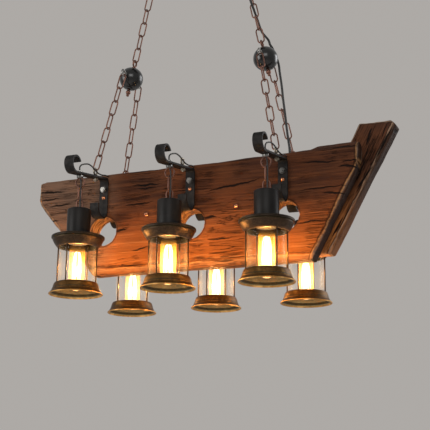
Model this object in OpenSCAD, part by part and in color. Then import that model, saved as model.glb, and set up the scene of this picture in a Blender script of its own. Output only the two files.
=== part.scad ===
// Six-lantern plank chandelier: a timber plank hung on chains from a ceiling canopy, with flat-iron
// scroll brackets on both faces, each carrying a glass lantern on one chain link.
// Millimetres. The origin is the middle of the ceiling face, +Z up, +X along the plank, -Y the front.

/* [Ceiling fitting] */
// Length of the canopy along the plank
canopy_len = 300; // [270:5:360]
// Width of the canopy
canopy_w = 110; // [90:5:140]
// Height of the canopy below the ceiling
canopy_h = 26; // [22:1:34]
// Wall of the canopy
canopy_wall = 1.5; // [1:0.25:2.5]
// Corner radius of the canopy
canopy_r = 20; // [12:1:30]
// Width of the mounting bar inside the canopy
mount_bar_w = 30; // [24:1:40]
// Thickness of the mounting bar
mount_bar_t = 4; // [3:0.5:6]
// Distance between the two ceiling screws
mount_spacing = 160; // [130:5:180]
// Diameter of the ceiling screw holes
mount_hole_d = 5.5; // [4:0.5:7]

/* [Suspension] */
// Distance between the two ceiling hooks
hook_spread = 210; // [196:2:220]
// Distance between the two chain balls
ball_spread = 320; // [290:5:350]
// Diameter of the chain balls
ball_d = 53; // [44:1:60]
// Ceiling to the middle of the balls
ball_drop = 297; // [280:1:320]
// Ceiling to the plank's top edge
plank_drop = 523; // [505:1:550]
// Length of chain that one link makes, before it is spread evenly
link_pitch = 31; // [26:1:36]
// Wire diameter of the chain links
link_wire = 3; // [2.5:0.25:3.5]
// Outer width of the chain links
link_w = 17; // [15:0.5:18]
// Wire diameter of the hooks and screw eyes
eye_wire = 4; // [3:0.5:4.5]
// Outer diameter of the hooks and screw eyes
eye_d = 18; // [17:0.5:20]

/* [Planks] */
// Height of the main plank
plank_h = 224; // [210:2:240]
// Thickness of the main plank
plank_t = 45; // [36:1:52]
// Left tip of the main plank, from the middle
plank_left = 368; // [350:2:400]
// Right tip of the main plank, from the middle
plank_right = 361; // [345:2:390]
// Left end of the bottom edge, from the middle
foot_left = 232; // [225:1:260]
// Right end of the bottom edge, from the middle
foot_right = 262; // [250:1:270]
// Height of the blunt left tip above the slanted cut
tip_h = 54; // [40:1:70]
// Rise of the top edge at the right end
end_rise = 18; // [8:1:24]
// Diameter of the three holes through the main plank
hole_d = 62; // [50:1:66]
// Plank top to the middle of the holes
hole_drop = 129; // [127:1:140]
// Thickness of the end plank behind the right end
end_t = 44; // [34:1:50]
// Width of the end plank, measured level
end_w = 80; // [70:1:90]
// Height of the end plank's foot above the main plank's bottom edge
end_foot = 20; // [10:1:30]
// Height of the end plank's top above the main plank's bottom edge
end_top = 289; // [280:1:320]
// Lean of the end plank from upright, in degrees
end_lean = 28.3; // [26:0.1:30]
// Inset of the end plank's foot from the main plank's right tip
end_inset = 73; // [65:1:78]

/* [Brackets] */
// Width of the flat iron
iron_w = 20; // [16:1:24]
// Thickness of the flat iron
iron_t = 4; // [3:0.5:4.5]
// Plank top to the arm's root
arm_drop = 12; // [11:0.5:16]
// Fall of the arm, in degrees
arm_slope = 9.5; // [6:0.5:12]
// Length of the straight arm
arm_len = 136; // [132:1:142]
// Radius of the scroll at the arm's end
scroll_r = 17; // [14:0.5:19]
// Turn of the scroll, in degrees
scroll_turn = 250; // [220:5:260]
// Radius of the curl at the strap's foot
curl_r = 20; // [16:0.5:22]
// Plank top to the lowest point of the curl
curl_drop = 104; // [98:1:104]
// Straight tip of the curl
curl_tip = 8; // [4:1:12]
// Plank middle to the screw eye that the chain holds
eye_out = 64; // [60:1:68]
// Diameter of the through bolts and their holes' nominal size
bolt_d = 6; // [5:0.5:7]
// Plank top to the through bolts
bolt_drop = 37; // [34:1:42]
// Plank top to the dome nails in the straps
nail_drop = 55; // [50:1:60]

/* [Lanterns] */
// Distance between neighbouring lanterns
lamp_pitch = 205; // [195:1:215]
// Lantern middle to plank middle
lamp_out = 127; // [123:1:132]
// Diameter of the base ring's lip
base_d = 110; // [100:1:114]
// Height of the base ring
base_h = 24; // [20:1:28]
// Height of clear glass between the base ring and the collar
glass_gap = 74; // [70:1:84]
// Outer diameter of the glass
glass_d = 74; // [68:1:76]
// Wall of the glass
glass_wall = 2; // [1.5:0.25:3]
// Diameter of the collar's lip
collar_d = 109; // [100:1:113]
// Height of the collar
collar_h = 23; // [22:1:30]
// Sheet thickness of the collar and the base ring
sheet = 1.6; // [1.2:0.1:2.2]
// Diameter of the cage rods
rod_d = 3; // [2.5:0.25:3.5]
// Glass to the middle of the rods
rod_stand = 3; // [2.5:0.25:3.5]
// Diameter of the socket cup
cup_d = 49; // [47:0.5:52]
// Height of the socket cup
cup_h = 58; // [56:1:64]
// Wall of the socket cup
cup_wall = 1.2; // [1:0.1:2]
// Diameter of the lampholder
socket_d = 39; // [36:0.5:40]
// Diameter of the bulb's glass
bulb_d = 32; // [28:1:38]
// Base ring's lip to the bulb's tip
bulb_rise = 8; // [7.5:0.5:18]
// Diameter of the bulb's screw cap
cap_d = 26.4; // [26:0.1:26.6]
// Length of the link under each lamp hook
lamp_link = 33; // [30:1:40]
// Diameter of the lamp wires
wire_d = 3; // [2.5:0.25:3]
// Diameter of the supply cable
cable_d = 5; // [4:0.5:5]

/* [Hidden] */
// Running gap between pieces of different bodies
gap = 0.3;
// Gap of a screwed or pushed fit, on the diameter
fit = 0.1;
// Smoothness of true curves
$fn = 48;

// Heights below the ceiling
plank_top_z = -plank_drop;
plank_foot_z = plank_top_z - plank_h;
face_y = plank_t / 2;
hole_z = plank_top_z - hole_drop;
bolt_z = plank_top_z - bolt_drop;
nail_z = plank_top_z - nail_drop;
stud_fall = 45;
stud_z = nail_z - stud_fall;
end_right = plank_right - end_inset;

// Lantern names, places along the plank and faces: -1 is the front, 1 the back
lamp_names = ["front_left", "front_middle", "front_right", "back_left", "back_middle", "back_right"];
lamp_x = [-lamp_pitch, 0, lamp_pitch, -lamp_pitch, 0, lamp_pitch];
lamp_side = [-1, -1, -1, 1, 1, 1];
// Turn of each cage about its own upright, in degrees, as the lanterns hang
lamp_turn = [-92, -99, -153, -118, -99, -97];
lamp_pieces = ["link", "cup", "socket", "cage", "glass", "bulb"];

// Screw eyes: middle radius of the ring, and the seat of a link's wire inside it
eye_r = (eye_d - eye_wire) / 2;
eye_seat = eye_r - (eye_wire + link_wire) / 2 - gap;
// The stem under a screw eye, from the carrying face to the ring's middle
eye_stand = eye_r + eye_wire / 2 + 1;

// Ceiling hooks
hook_x = hook_spread / 2;
hook_z = -canopy_h - eye_stand - 3;
hook_pivot_z = hook_z - eye_seat;

// Upper chains: on the line from each hook's seat to the middle of its ball
ball_x = ball_spread / 2;
chain_lean = atan2(ball_x - hook_x, ball_drop + hook_pivot_z);
ball_reach = norm([ball_x - hook_x, ball_drop + hook_pivot_z]);
ball_eye = ball_d / 2 + eye_stand;
upper_len = ball_reach - ball_eye - eye_seat;
// An odd number of links lets both end links hang across their screw eyes
upper_count = 2 * round((upper_len / link_pitch - 1) / 2) + 1;
upper_pitch = (upper_len - gap - link_wire) / upper_count;

// Lower chains: from the ring nuts on the balls' axles to the screw eyes on the arms
nut_y = ball_d / 2 + 3 + eye_r + eye_wire / 2;
iron_y = face_y + iron_t / 2;
arm_root_z = plank_top_z - arm_drop;
eye_run = (eye_out - iron_y) / cos(arm_slope);
eye_lift = iron_t / 2 + eye_stand + eye_seat;
lower_from = [ball_x, -nut_y, -ball_drop - eye_seat];
lower_to = [lamp_pitch, -eye_out - eye_lift * sin(arm_slope),
    arm_root_z - eye_run * sin(arm_slope) + eye_lift * cos(arm_slope)];
lower_len = norm(lower_to - lower_from);
lower_count = 2 * round((lower_len / link_pitch - 1) / 2) + 1;
lower_pitch = (lower_len - gap - link_wire) / lower_count;

// Lamp hooks: a hollow stem through the arm with a ring under it, square to the arm
loop_r = 10;
collar_nut_h = 7;
loop_fall = iron_t / 2 + collar_nut_h + loop_r;
lamp_pivot_fall = loop_fall + loop_r;
hook_run = (lamp_out - iron_y) / cos(arm_slope) + lamp_pivot_fall * tan(arm_slope);
lamp_pivot_z = arm_root_z - hook_run * sin(arm_slope) - lamp_pivot_fall * cos(arm_slope);

// The single link under each lamp hook, and the arch on the cup that it holds
lamp_link_len = lamp_link + gap;
link_low = lamp_link_len - link_wire - gap;
arch_r = 7;
arch_leg = 14;
cup_top = -link_low + link_wire + gap - arch_r - arch_leg;
lamp_h = base_h + glass_gap + collar_h + cup_h;
lip = cup_top - lamp_h;

// Lantern heights above the lip
collar_low = base_h + glass_gap;
collar_top = collar_low + collar_h;
lantern_top = collar_top + cup_h;
cup_r = cup_d / 2;
socket_low = collar_top - 15;
cap_len = 26;
shade_ring_h = 3;
stem_d = 8;
stem_bore = wire_d + 1.2;
arch_stem_d = 6;

// Wire route over one arm: from the plank's face along the arm, over in an arc and down the hook's stem.
// The points are from the plank's top edge, at the lantern's place along the plank.
wire_route = [[7, -20, -6], [7, -27, -6], [7, -36, -7], [7, -46, -9.5], [7, -57, -11], [6, -68, -10],
    [4, -76, -6], [2, -85, -1], [0, -97, 1], [0, -109, -2], [0, -120, -6], [0, -129, -11],
    [0, -133.4, -17], [0, -133, -23], [0, -131.8, -30], [0, -130.6, -37.3], [1, -130, -41.5],
    [2.8, -130.6, -46.5], [3.3, -131, -52]];
// Wire beside the chain link, from the hook's ring down to the arch, and on into the cup: its place
// beside and in front of the link
wire_place = [(link_wire + wire_d) / 2 + gap, -4];

// Supply cable, down from the canopy, woven through the right upper chain, round the back of the ball
// and down to the plank
cable_x = 122;
cable_stub = 15;
cable_high = [[122, 0, -45], [122, 3, -52], [120, 8, -62], [117, 12, -75], [115, 15, -90],
    [119, 11, -106], [122, 0, -121], [125, -11, -136], [128, -15, -152], [132, -11, -167],
    [135, 0, -182], [138, 11, -197], [142, 15, -213], [148, 14, -228], [157, 11, -241],
    [164, 8, -251], [167, 6, -258]];
cable_low = [[168, 6, -262], [172, 12, -270], [176, 20.8, -283.8], [180, 28, -300], [182, 30, -320],
    [186, 30, -350], [190, 28, -385], [195, 25, -420], [200, 20, -455], [205, 14, -482],
    [208, 11, -498], [209, 10, -510], [209, 10, -520], [209, 10, -531]];
gland_x = 209;
gland_y = 10;
// Rise of the plank's top edge where the cable goes in
gland_rise = 6;

// A hex nut or collar of height h, across-flats af, standing on z = 0
module hex_nut(af, h, bore) {
    difference() {
        cylinder(d = af / cos(30), h = h, $fn = 6);
        translate([0, 0, -1]) cylinder(d = bore, h = h + 2);
    }
}

// Half a ring of round wire in the XZ plane, above its middle
module half_ring(r, wire) {
    rotate([90, 0, 0]) rotate_extrude(angle = 180) translate([r, 0]) circle(d = wire, $fn = 24);
}

module full_ring(r, wire) {
    rotate([90, 0, 0]) rotate_extrude() translate([r, 0]) circle(d = wire, $fn = 24);
}

// One oval chain link in the XZ plane; len is the distance between the middles of its end wires
module link(len, wire = link_wire, wide = link_w) {
    r = (wide - wire) / 2;
    side = len / 2 - r;
    translate([0, 0, side]) half_ring(r, wire);
    translate([0, 0, -side]) rotate([0, 180, 0]) half_ring(r, wire);
    for (x = [-r, r]) translate([x, 0, -side]) cylinder(d = wire, h = 2 * side, $fn = 24);
}

// A chain whose first end wire is at from and whose last is at to, its odd links facing front
module chain(from, to, count, pitch) {
    run = to - from;
    lean = acos(-run[2] / norm(run));
    turn = atan2(run[1], run[0]);
    len = pitch + gap + link_wire;
    translate(from) rotate([0, 0, turn]) rotate([0, -lean, 0]) rotate([0, 0, -turn])
        for (i = [0 : count - 1])
            translate([0, 0, -len / 2 - i * pitch]) rotate([0, 0, 90 * (i % 2)]) link(len);
}

// A ring in the YZ plane on a stem that runs down from it; z = 0 is the face that carries it
module screw_eye(stem, depth) {
    translate([0, 0, eye_stand]) rotate([0, 0, 90]) full_ring(eye_r, eye_wire);
    translate([0, 0, -depth]) cylinder(d = stem, h = depth + 2);
    cylinder(d = stem + 3, h = 1.6);
}

// Both sides of the middle, left and right
module left_and_right() {
    children();
    mirror([1, 0, 0]) children();
}

// The three bracket places on the front or the back face
module on_face(side) {
    for (x = [-lamp_pitch, 0, lamp_pitch])
        translate([x, 0, 0]) mirror([0, side > 0 ? 1 : 0, 0]) children();
}

// A frame square to the arm, at a distance along it from its root
module on_arm(run) {
    translate([0, -iron_y - run * cos(arm_slope), arm_root_z - run * sin(arm_slope)])
        rotate([arm_slope, 0, 0]) children();
}

// Points on a smooth curve through a route
function curve_point(p, i, t) =
    let (a = p[max(i - 1, 0)], b = p[i], c = p[i + 1], d = p[min(i + 2, len(p) - 1)])
    0.5 * (2 * b + (c - a) * t + (2 * a - 5 * b + 4 * c - d) * t * t + (3 * b - a - 3 * c + d) * t * t * t);
function smooth(p) = concat([for (i = [0 : len(p) - 2]) each [p[i], curve_point(p, i, 0.5)]], [p[len(p) - 1]]);
function unit(v) = v / norm(v);
function backwards(list) = [for (i = [len(list) - 1 : -1 : 0]) list[i]];
function heading(p, i) = unit(p[min(i + 1, len(p) - 1)] - p[max(i - 1, 0)]);
// A cross direction that is carried along the route without twisting
function carried(p, i) = i == 0 ? unit(cross(heading(p, 0), [1, 0.2, 0.1]))
    : let (last = carried(p, i - 1), h = heading(p, i)) unit(last - (last * h) * h);
function tube_ring(p, i, r, n) =
    let (h = heading(p, i), a = carried(p, i), b = cross(h, a))
    [for (k = [0 : n - 1]) p[i] + r * (a * cos(360 * k / n) + b * sin(360 * k / n))];

// A round cord of 8 sides along a route
module cord(route, d) {
    n = 8;
    last = len(route) - 1;
    pts = [for (i = [0 : last]) each tube_ring(route, i, d / 2, n)];
    faces = concat([[for (k = [0 : n - 1]) k]],
        [for (i = [0 : last - 1], k = [0 : n - 1])
            [i * n + k, (i + 1) * n + k, (i + 1) * n + (k + 1) % n, i * n + (k + 1) % n]],
        [[for (k = [n - 1 : -1 : 0]) last * n + k]]);
    polyhedron(points = pts, faces = faces, convexity = 6);
}

// A box with round upright corners, its top at z = 0
module rounded_box(l, w, h, r) {
    translate([-l / 2 + r, -w / 2, -h]) cube([l - 2 * r, w, h]);
    translate([-l / 2, -w / 2 + r, -h]) cube([l, w - 2 * r, h]);
    for (x = [-1, 1], y = [-1, 1])
        translate([x * (l / 2 - r), y * (w / 2 - r), -h]) cylinder(r = r, h = h);
}

// Canopy studs stand between the ceiling screws and the middle
stud_x = mount_spacing / 4;
stud_d = 4;

module canopy() {
    color("dimgray") difference() {
        rounded_box(canopy_len, canopy_w, canopy_h, canopy_r);
        translate([0, 0, canopy_wall]) rounded_box(canopy_len - 2 * canopy_wall,
            canopy_w - 2 * canopy_wall, canopy_h, canopy_r - canopy_wall);
        left_and_right() translate([hook_x, 0, -canopy_h - 1]) cylinder(d = bolt_d + 0.4, h = 5);
        left_and_right() translate([stud_x, 0, -canopy_h - 1]) cylinder(d = stud_d + 0.4, h = 5);
        translate([cable_x, 0, -canopy_h - 1]) cylinder(d = cable_d + 3, h = 5);
    }
}

module mounting_bar() {
    color("silver") difference() {
        translate([-hook_x - 15, -mount_bar_w / 2, -mount_bar_t])
            cube([2 * hook_x + 30, mount_bar_w, mount_bar_t]);
        left_and_right() translate([mount_spacing / 2, 0, -10]) cylinder(d = mount_hole_d, h = 20);
        left_and_right() translate([hook_x, 0, -10]) cylinder(d = bolt_d + fit, h = 20);
        left_and_right() translate([stud_x, 0, -10]) cylinder(d = stud_d + fit, h = 20);
    }
}

module canopy_nuts() {
    color("dimgray") left_and_right() translate([stud_x, 0, -canopy_h]) {
        translate([0, 0, -3]) cylinder(d = stud_d, h = canopy_h + 2);
        translate([0, 0, -3]) cylinder(d = 8 / cos(30), h = 3, $fn = 6);
        translate([0, 0, -3]) intersection() {
            sphere(d = 7.6);
            translate([-5, -5, -5]) cube([10, 10, 5]);
        }
    }
}

module ceiling_hooks() {
    color("dimgray") left_and_right() translate([hook_x, 0, -canopy_h]) mirror([0, 0, 1]) {
        translate([0, 0, 3]) screw_eye(bolt_d, canopy_h + 2);
        cylinder(d = 14, h = 3);
    }
}

// Grip where the supply cable leaves the canopy, and the short straight of cable in it
module cable_grip() {
    translate([cable_x, 0, -canopy_h]) {
        color("dimgray") difference() {
            union() {
                translate([0, 0, -5]) cylinder(d = cable_d + 6, h = 5);
                cylinder(d = cable_d + 2.8, h = canopy_wall + 2);
            }
            translate([0, 0, -10]) cylinder(d = cable_d + 2 * gap, h = 20);
        }
        color("black") translate([0, 0, -cable_stub]) cylinder(d = cable_d, h = cable_stub + 10);
    }
}

module upper_chains() {
    from = [hook_x, 0, hook_pivot_z];
    down = [sin(chain_lean), 0, -cos(chain_lean)];
    color("saddlebrown") left_and_right() chain(from, from + upper_len * down, upper_count, upper_pitch);
}

module cable_upper() {
    color("black") cord(smooth(cable_high), cable_d);
}

// The frame of the right-hand ball, its top towards the chain
module at_ball() {
    left_and_right() translate([ball_x, 0, -ball_drop]) rotate([0, -chain_lean, 0]) children();
}

axle_d = 5;
eye_screw_d = 5;
eye_screw_len = 12;

module chain_balls() {
    color("black") at_ball() difference() {
        sphere(d = ball_d);
        rotate([90, 0, 0]) cylinder(d = axle_d + fit, h = ball_d + 2, center = true);
        translate([0, 0, ball_d / 2 - eye_screw_len - 1]) cylinder(d = eye_screw_d + fit, h = ball_d);
        mirror([0, 0, 1]) translate([0, 0, ball_d / 2 - eye_screw_len]) cylinder(d = axle_d + fit, h = ball_d);
    }
}

// The axle and a ring nut on each end of it
module ball_axles() {
    hub = nut_y - ball_d / 2 - eye_r + 0.5;
    color("silver") left_and_right() translate([ball_x, 0, -ball_drop]) {
        rotate([90, 0, 0]) cylinder(d = axle_d, h = ball_d + 4, center = true);
        for (s = [-1, 1]) {
            translate([0, s * nut_y, 0]) rotate([0, 0, 90]) full_ring(eye_r, eye_wire);
            rotate([s * -90, 0, 0]) translate([0, 0, ball_d / 2]) difference() {
                cylinder(d = 10, h = hub);
                translate([0, 0, -1]) cylinder(d = axle_d + fit, h = 3.5);
            }
        }
    }
}

module ball_eyes() {
    color("peru") at_ball() {
        translate([0, 0, ball_d / 2]) screw_eye(eye_screw_d, eye_screw_len);
        mirror([0, 0, 1]) translate([0, 0, ball_d / 2]) {
            translate([0, 0, -eye_screw_len + 1]) cylinder(d = axle_d, h = eye_screw_len + 5);
            translate([0, 0, 5.5]) sphere(d = 11);
            translate([0, 0, 12]) sphere(d = 7);
        }
    }
}

module lower_chains() {
    color("saddlebrown") left_and_right() for (s = [0, 1]) mirror([0, s, 0])
        chain(lower_from, lower_to, lower_count, lower_pitch);
}

// Outline of the main plank seen from the front, from the middle of its bottom edge
flat_half = 15;
rise_foot = 100;
rise_head = 88;
rise_level = 50;
worn = 2;
right_slope = 46;
module plank_outline() {
    top = plank_h + end_rise;
    polygon([[-foot_left, 0], [-plank_left - worn, plank_h - tip_h], [-plank_left, plank_h - 3 * worn],
        [-plank_left + flat_half, plank_h - worn], [-lamp_pitch, plank_h - worn / 2],
        [-lamp_pitch / 2, plank_h], [lamp_pitch / 4, plank_h],
        [lamp_pitch - flat_half, plank_h + gland_rise], [lamp_pitch + flat_half, plank_h + gland_rise],
        [plank_right - rise_foot, plank_h + gland_rise + worn], [plank_right - rise_head, top - worn],
        [plank_right - rise_level, top], [plank_right - 6 * worn, top], [plank_right, top - 2 * worn],
        [plank_right - worn, plank_h - 8 * worn], [plank_right - 3 * worn, plank_h - right_slope],
        [foot_right, 0]]);
}

// Places of the three screws that hold the end plank, from the middle of the bottom edge
screw_rise = [60, 125, 190];
screw_d = 5;
screw_bite = 25;
module at_screws() {
    for (z = screw_rise)
        translate([end_right - end_w / 2 + (z - end_foot) * tan(end_lean) - 8, face_y, plank_foot_z + z])
            rotate([-90, 0, 0]) children();
}

nail_len = 18;
nail_shank = 3;
module nail_hole() {
    cylinder(d = nail_shank + fit, h = nail_len + 3);
}

// Places of the dome nails, pointing into the plank from both faces
module at_nails() {
    for (s = [-1, 1], x = [-lamp_pitch, 0, lamp_pitch])
        translate([x, s * (face_y + iron_t), nail_z]) rotate([s * 90, 0, 0]) children();
}

module at_studs() {
    for (s = [-1, 1], x = [-lamp_pitch / 2, lamp_pitch / 2])
        translate([x, s * face_y, stud_z]) rotate([s * 90, 0, 0]) children();
}

module main_plank() {
    color("saddlebrown") difference() {
        translate([0, 0, plank_foot_z]) rotate([90, 0, 0])
            linear_extrude(plank_t, center = true) plank_outline();
        for (x = [-lamp_pitch, 0, lamp_pitch]) {
            translate([x, 0, hole_z]) rotate([90, 0, 0])
                cylinder(d = hole_d, h = plank_t + 2, center = true, $fn = 72);
            translate([x, 0, bolt_z]) rotate([90, 0, 0])
                cylinder(d = bolt_d + fit, h = plank_t + 2, center = true);
        }
        at_nails() nail_hole();
        at_studs() nail_hole();
        for (side = [-1, 1]) on_face(side) translate([wire_route[0][0], -face_y + 4, plank_top_z - 6])
            rotate([90, 0, 0]) cylinder(d = wire_d + 1.4, h = 10);
        at_screws() translate([0, 0, -screw_bite]) cylinder(d = screw_d + fit, h = screw_bite + 1);
        translate([gland_x, gland_y, plank_top_z + gland_rise - 16]) cylinder(d = cable_d + 3, h = 30);
    }
}

module end_plank() {
    shift = (end_top - end_foot) * tan(end_lean);
    left = end_right - end_w;
    color("sienna") difference() {
        translate([0, face_y + end_t, plank_foot_z]) rotate([90, 0, 0]) linear_extrude(end_t)
            polygon([[left, end_foot], [end_right, end_foot], [end_right + shift - worn, end_top - 6 * worn],
                [end_right + shift - 7 * worn, end_top], [end_right + shift - rise_level, end_top - worn],
                [left + shift, end_top]]);
        at_screws() translate([0, 0, -1]) cylinder(d = screw_d + fit, h = end_t + 2);
    }
}

module plank_screws() {
    color("dimgray") at_screws() {
        translate([0, 0, -screw_bite + 1]) cylinder(d = screw_d, h = end_t + screw_bite);
        translate([0, 0, end_t]) intersection() {
            translate([0, 0, -6]) sphere(d = 17);
            cylinder(d = 13, h = 5);
        }
    }
}

// Middle line of a bracket seen from its edge, as places and headings from the curl's tip to the
// scroll's end: x runs out from the plank's face, y up from its top edge
function on_circle(middle, r, heading, left = 1) =
    [middle + left * r * [sin(heading), -cos(heading)], heading];
corner_r = 6;
corner_touch = corner_r / cos(arm_slope) + corner_r * tan(arm_slope);
curl_middle = [curl_r, curl_r - curl_drop];
scroll_middle = [0, -arm_drop] + arm_len * [cos(arm_slope), -sin(arm_slope)]
    + scroll_r * [sin(arm_slope), cos(arm_slope)];
iron_line = concat([[curl_middle + [curl_r, curl_tip], -90]],
    [for (turn = [0 : 10 : 180]) on_circle(curl_middle, curl_r, -90 - turn, -1)],
    [for (i = [0 : 6]) on_circle([corner_r, -arm_drop - corner_touch], corner_r,
        90 - (90 + arm_slope) * i / 6, -1)],
    [for (turn = [0 : 10 : scroll_turn]) on_circle(scroll_middle, scroll_r, turn - arm_slope)]);
function iron_edge(side) = [for (place = iron_line)
    place[0] + side * iron_t / 2 * [-sin(place[1]), cos(place[1])]];

module bracket() {
    eye_stem = 5;
    difference() {
        translate([iron_w / 2, -iron_y, plank_top_z]) rotate([90, 0, -90])
            linear_extrude(iron_w) polygon(concat(iron_edge(1), backwards(iron_edge(-1))));
        translate([0, 0, bolt_z]) rotate([90, 0, 0]) cylinder(d = bolt_d + fit, h = plank_t);
        translate([0, 0, nail_z]) rotate([90, 0, 0]) cylinder(d = nail_shank + fit, h = plank_t);
        on_arm(eye_run) cylinder(d = eye_stem + fit, h = 20, center = true);
        on_arm(hook_run) cylinder(d = stem_d + fit, h = 20, center = true);
    }
}

module front_brackets() {
    color("dimgray") on_face(-1) bracket();
}

module back_brackets() {
    color("dimgray") on_face(1) bracket();
}

// Through bolts with a hex nut and a washer on both faces
washer_d = 13;
washer_t = 1.2;
nut_af = 10;
nut_h = 5;
bolt_over = 7;
module bracket_bolts() {
    reach = face_y + iron_t;
    color("silver") for (x = [-lamp_pitch, 0, lamp_pitch]) translate([x, 0, bolt_z]) {
        rotate([90, 0, 0]) cylinder(d = bolt_d, h = 2 * (reach + bolt_over), center = true);
        for (s = [-1, 1]) rotate([s * 90, 0, 0]) translate([0, 0, reach]) {
            difference() {
                cylinder(d = washer_d, h = washer_t);
                translate([0, 0, -1]) cylinder(d = bolt_d + fit, h = washer_t + 2);
            }
            translate([0, 0, washer_t]) hex_nut(nut_af, nut_h, bolt_d + fit);
        }
    }
}

// A nail with a domed head standing on z = 0 and its shank below
module dome_nail(d) {
    intersection() {
        translate([0, 0, -d * 0.2]) sphere(d = d * 1.2);
        cylinder(d = d * 2, h = d);
    }
    translate([0, 0, -nail_len]) cylinder(d = nail_shank, h = nail_len + 1);
}

module dome_nails() {
    color("peru") {
        at_nails() mirror([0, 0, 1]) dome_nail(8);
        at_studs() mirror([0, 0, 1]) dome_nail(10);
    }
}

// Screw eyes on the arms, each with a nut under the arm
module screw_eyes() {
    stem = 5;
    color("darkgoldenrod") for (side = [-1, 1]) on_face(side) on_arm(eye_run) {
        translate([0, 0, iron_t / 2]) screw_eye(stem, iron_t + 7);
        translate([0, 0, -iron_t / 2 - 5]) hex_nut(9, 5, stem + fit);
    }
}

// Hollow stems through the arms, each with a ring under the arm and a nut over it
module lamp_hooks() {
    color("silver") for (side = [-1, 1]) on_face(side) on_arm(hook_run) {
        difference() {
            union() {
                translate([0, 0, -iron_t / 2 - 2]) cylinder(d = stem_d, h = iron_t + 7);
                translate([0, 0, -iron_t / 2 - collar_nut_h]) cylinder(d = 12 / cos(30), h = collar_nut_h, $fn = 6);
                translate([0, 0, -loop_fall]) full_ring(loop_r, link_wire);
            }
            translate([0, 0, -iron_t / 2 - collar_nut_h - 3]) cylinder(d = stem_bore, h = 30);
        }
        translate([0, 0, iron_t / 2]) hex_nut(11, 4, stem_d + fit);
    }
}

module lamp_wires() {
    color("black") for (side = [-1, 1]) on_face(side)
        translate([0, 0, plank_top_z]) cord(smooth(wire_route), wire_d);
}

module cable_lower() {
    color("black") cord(smooth(cable_low), cable_d);
}

module cable_gland() {
    color("dimgray") translate([gland_x, gland_y, plank_top_z + gland_rise]) difference() {
        union() {
            cylinder(d = cable_d + 8, h = 3);
            translate([0, 0, -6]) cylinder(d = cable_d + 2.8, h = 8);
        }
        translate([0, 0, -10]) cylinder(d = cable_d + 2 * gap, h = 20);
    }
}

// The link between a lamp hook and its lantern, with the wire beside it; the pivot is at z = 0
module lamp_link() {
    mid = link_wire + gap - lamp_link_len / 2;
    color("saddlebrown") translate([0, 0, mid]) rotate([0, 0, 90]) link(lamp_link_len);
    color("black") translate([wire_place[0], wire_place[1], -link_low + 3.5])
        cylinder(d = wire_d, h = link_low - 6.5, $fn = 16);
}

// The modules below stand on the lip of a lantern, at z = 0
module lamp_cup() {
    color("dimgray") {
        difference() {
            translate([0, 0, collar_top]) cylinder(r = cup_r, h = cup_h);
            translate([0, 0, collar_top - 1]) cylinder(r = cup_r - cup_wall, h = cup_h - cup_wall + 1);
            translate([0, 0, lantern_top - 3]) cylinder(d = arch_stem_d + fit, h = 5);
            translate([wire_place[0], wire_place[1], lantern_top - 3]) cylinder(d = wire_d + 2 * gap, h = 5);
        }
    }
    // Arch that hangs on the link, on a hollow stem through the cup
    color("saddlebrown") difference() {
        union() {
            translate([0, 0, lantern_top + arch_leg]) half_ring(arch_r, link_wire);
            for (x = [-arch_r, arch_r])
                translate([x, 0, lantern_top + 2]) cylinder(d = link_wire, h = arch_leg - 2, $fn = 24);
            translate([0, 0, lantern_top]) cylinder(d = 2 * arch_r + 5, h = 3);
            translate([0, 0, lantern_top - 8]) cylinder(d = arch_stem_d, h = 9);
        }
        translate([wire_place[0], wire_place[1], lantern_top - 10]) cylinder(d = wire_d + 2 * gap, h = 20);
    }
    color("black") translate([wire_place[0], wire_place[1], lantern_top - 2])
        cylinder(d = wire_d, h = arch_leg + arch_r + 0.5, $fn = 16);
}

// Lampholder in the cup, with the ring nut that clamps the collar's top
module lamp_socket() {
    top = lantern_top - cup_wall - 7.5;
    color("whitesmoke") difference() {
        translate([0, 0, socket_low]) cylinder(d = socket_d, h = top - socket_low);
        translate([0, 0, socket_low - 1]) cylinder(d = cap_d + 2 * gap, h = cap_len + 3);
    }
    color("silver") translate([0, 0, collar_top - sheet - shade_ring_h]) difference() {
        cylinder(r = cup_r - 1, h = shade_ring_h);
        translate([0, 0, -1]) cylinder(d = socket_d + fit, h = shade_ring_h + 2);
    }
}

// Rods: in line with the sheet's level rims, with a round nut at each end
rod_out = glass_d / 2 + rod_stand;
rod_nut_d = rod_d + 1.6;
rod_nut_h = 2.5;
rod_tip = 1.5;
rim_r = rod_out + rod_nut_d / 2 + 0.1;

// Places on a curve given as parts of the way from the level rim to the lip, and of the height
function along(curve, lip_r, h) = [for (p = curve) [rim_r + (lip_r - rim_r) * p[0], h * p[1]]];
ring_curve = [[0, 1], [0.1, 0.97], [0.25, 0.81], [0.33, 0.67], [0.4, 0.5], [0.55, 0.33], [0.72, 0.2],
    [0.93, 0.09], [1, 0.06], [1, 0]];
bowl_curve = [[0, 0], [0.15, 0.17], [0.42, 0.43], [0.67, 0.61], [0.79, 0.71], [0.74, 0.74],
    [0.95, 0.77], [1, 0.81], [1, 0.94], [0.9, 1]];

// Half section of the collar: a bowl that opens upwards to a grooved lip, closed by its top plate
module collar_section() {
    lip_r = collar_d / 2;
    hole_r = socket_d / 2 + gap;
    bore_r = glass_d / 2 + gap;
    bowl = along(bowl_curve, lip_r, collar_h);
    inside = [for (i = [1 : 3]) bowl[i] + sheet * [-1.15, 0.3]];
    translate([0, collar_low]) polygon(concat([[bore_r, 0]], bowl,
        [[hole_r, collar_h], [hole_r, collar_h - sheet], [lip_r - 1.4 * sheet, collar_h - sheet],
        [lip_r - 1.4 * sheet, 0.86 * collar_h], [lip_r - 3 * sheet, 0.72 * collar_h]],
        backwards(inside), [[rim_r - 0.4, sheet], [bore_r, sheet]]));
}

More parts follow.
